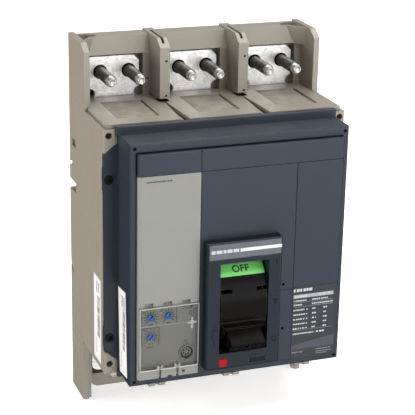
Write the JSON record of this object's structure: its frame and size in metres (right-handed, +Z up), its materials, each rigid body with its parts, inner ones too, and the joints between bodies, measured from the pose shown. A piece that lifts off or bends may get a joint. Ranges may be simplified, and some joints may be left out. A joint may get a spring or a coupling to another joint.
{
  "type": "air circuit breaker",
  "caption": "Fixed three-pole circuit breaker with a rear terminal row, toggle handle, push-to-trip button and electronic trip unit.",
  "frame": {"origin": "centre of the flat back face, at mid height and mid width", "axes": "+X to the right seen from the front, +Z up, -Y out of the front; +Y is the back face normal"},
  "size_m": [0.2101, 0.1683, 0.327],
  "materials": {
    "grey_case": "moulded, fine spark texture",
    "dark_cover": "moulded, fine grain",
    "nameplate_black": "printed film",
    "trip_grey": "moulded",
    "clear_cover": "clear polycarbonate",
    "dial_blue": "moulded",
    "zinc_screw": "zinc plated",
    "black_screw": "blackened",
    "tinned_copper": "tin plated copper",
    "stud_steel": "zinc plated",
    "filter_mesh": "woven wire",
    "splitter_steel": "zinc plated sheet",
    "mechanism_steel": "zinc plated",
    "spring_steel": "oiled wire",
    "silver_contact": "silver alloy",
    "copper": "bare copper",
    "carrier_moulding": "glass filled polyester",
    "transformer_resin": "cast resin",
    "handle_black": "moulded",
    "flag_green": "printed",
    "flag_white": "printed",
    "button_red": "moulded",
    "label_white": "printed label"
  },
  "bodies": {
    "breaker": {"arc_chute_1": "grey_case", "arc_chute_2": "grey_case", "arc_chute_3": "grey_case", "arc_filters": "filter_mesh", "cover_clips": "grey_case", "cover_screws": "black_screw", "current_transformer_1": "transformer_resin", "current_transformer_2": "transformer_resin", "current_transformer_3": "transformer_resin", "fixed_contacts": "silver_contact", "flange_screws": "black_screw", "flexible_braids": "copper", "front_case": "grey_case", "front_cover": "dark_cover", "front_fascia": "dark_cover", "handle_bezel": "dark_cover", "lower_studs": "stud_steel", "lower_terminal_1": "tinned_copper", "lower_terminal_2": "tinned_copper", "lower_terminal_3": "tinned_copper", "lower_terminal_shroud": "grey_case", "mechanism_plates": "mechanism_steel", "nameplate": "nameplate_black", "rear_case": "grey_case", "rear_cover_lower": "grey_case", "rear_cover_upper": "grey_case", "side_labels": "label_white", "splitter_plates": "splitter_steel", "test_connector": "trip_grey", "toggle_springs": "spring_steel", "trip_button_spring": "spring_steel", "trip_unit_housing": "trip_grey", "trip_unit_screws": "zinc_screw", "upper_studs": "stud_steel", "upper_terminal_1": "tinned_copper", "upper_terminal_2": "tinned_copper", "upper_terminal_3": "tinned_copper", "upper_terminal_shroud": "grey_case"},
    "toggle": {"toggle_handle": "handle_black", "handle_yoke": "mechanism_steel", "off_flag": "flag_green", "on_flag": "flag_white"},
    "pole_shaft": {"pole_shaft": "mechanism_steel"},
    "drive_link": {"drive_link": "mechanism_steel"},
    "trip_button": {"trip_button": "button_red"},
    "trip_bar": {"trip_bar": "mechanism_steel"},
    "trip_unit_cover": {"trip_unit_cover": "clear_cover"},
    "dial_1": {"setting_dial_1": "dial_blue"},
    "carrier_1": {"contact_carrier_1": "carrier_moulding", "contact_fingers_1": "copper"},
    "rods_1": {"connecting_rods_1": "mechanism_steel"},
    "dial_2": {"setting_dial_2": "dial_blue"},
    "carrier_2": {"contact_carrier_2": "carrier_moulding", "contact_fingers_2": "copper"},
    "rods_2": {"connecting_rods_2": "mechanism_steel"},
    "dial_3": {"setting_dial_3": "dial_blue"},
    "carrier_3": {"contact_carrier_3": "carrier_moulding", "contact_fingers_3": "copper"},
    "rods_3": {"connecting_rods_3": "mechanism_steel"}
  },
  "joints": [
    {"name": "toggle_swing", "type": "hinge", "parent": "breaker", "child": "toggle", "pos_m": [0, -0.1127, -0.03775], "axis": [-1, 0, 0], "range_deg": [0, 60], "deforming": ["toggle_springs"]},
    {"name": "pole_shaft_turn", "type": "hinge", "parent": "breaker", "child": "pole_shaft", "pos_m": [0, -0.08, -0.01], "axis": [-1, 0, 0], "range_deg": [0, 30]},
    {"name": "drive_link_pivot", "type": "hinge", "parent": "pole_shaft", "child": "drive_link", "pos_m": [0, -0.06026, -0.02366], "axis": [-1, 0, 0], "range_deg": [-30, 0]},
    {"name": "trip_button_press", "type": "slide", "parent": "breaker", "child": "trip_button", "axis": [0, 1, 0], "range_m": [0, 0.003], "stiffness_N_per_m": 300, "springref_m": -0.001, "deforming": ["trip_button_spring"]},
    {"name": "trip_bar_turn", "type": "hinge", "parent": "breaker", "child": "trip_bar", "pos_m": [0, -0.118, -0.097], "axis": [-1, 0, 0], "range_deg": [0, 16]},
    {"name": "trip_cover_swing", "type": "hinge", "parent": "breaker", "child": "trip_unit_cover", "pos_m": [-0.0616, -0.1473, -0.0309], "axis": [-1, 0, 0], "range_deg": [0, 120]},
    {"name": "dial_1_turn", "type": "hinge", "parent": "breaker", "child": "dial_1", "pos_m": [-0.0763, -0.14, -0.0428], "axis": [0, -1, 0], "range_deg": [-135, 135]},
    {"name": "dial_2_turn", "type": "hinge", "parent": "breaker", "child": "dial_2", "pos_m": [-0.0609, -0.14, -0.0427], "axis": [0, -1, 0], "range_deg": [-135, 135]},
    {"name": "dial_3_turn", "type": "hinge", "parent": "breaker", "child": "dial_3", "pos_m": [-0.076, -0.14, -0.0598], "axis": [0, -1, 0], "range_deg": [-135, 135]},
    {"name": "carrier_1_swing", "type": "hinge", "parent": "breaker", "child": "carrier_1", "pos_m": [-0.07, -0.04, -0.01], "axis": [-1, 0, 0], "range_deg": [0, 30]},
    {"name": "rods_1_pivot", "type": "hinge", "parent": "pole_shaft", "child": "rods_1", "pos_m": [-0.07, -0.08518, 0.00932], "axis": [-1, 0, 0], "range_deg": [-30, 0]},
    {"name": "carrier_2_swing", "type": "hinge", "parent": "breaker", "child": "carrier_2", "pos_m": [0, -0.04, -0.01], "axis": [-1, 0, 0], "range_deg": [0, 30]},
    {"name": "rods_2_pivot", "type": "hinge", "parent": "pole_shaft", "child": "rods_2", "pos_m": [0, -0.08518, 0.00932], "axis": [-1, 0, 0], "range_deg": [-30, 0]},
    {"name": "carrier_3_swing", "type": "hinge", "parent": "breaker", "child": "carrier_3", "pos_m": [0.07, -0.04, -0.01], "axis": [-1, 0, 0], "range_deg": [0, 30]},
    {"name": "rods_3_pivot", "type": "hinge", "parent": "pole_shaft", "child": "rods_3", "pos_m": [0.07, -0.08518, 0.00932], "axis": [-1, 0, 0], "range_deg": [-30, 0]}
  ],
  "couplings": [
    {"joint": "pole_shaft_turn", "follows": "toggle_swing", "ratio": 0.5},
    {"joint": "drive_link_pivot", "follows": "toggle_swing", "ratio": -0.5},
    {"joint": "trip_bar_turn", "follows": "trip_button_press", "rad_per_m": 80},
    {"joint": "carrier_1_swing", "follows": "toggle_swing", "ratio": 0.5},
    {"joint": "rods_1_pivot", "follows": "toggle_swing", "ratio": -0.5},
    {"joint": "carrier_2_swing", "follows": "toggle_swing", "ratio": 0.5},
    {"joint": "rods_2_pivot", "follows": "toggle_swing", "ratio": -0.5},
    {"joint": "carrier_3_swing", "follows": "toggle_swing", "ratio": 0.5},
    {"joint": "rods_3_pivot", "follows": "toggle_swing", "ratio": -0.5}
  ]
}
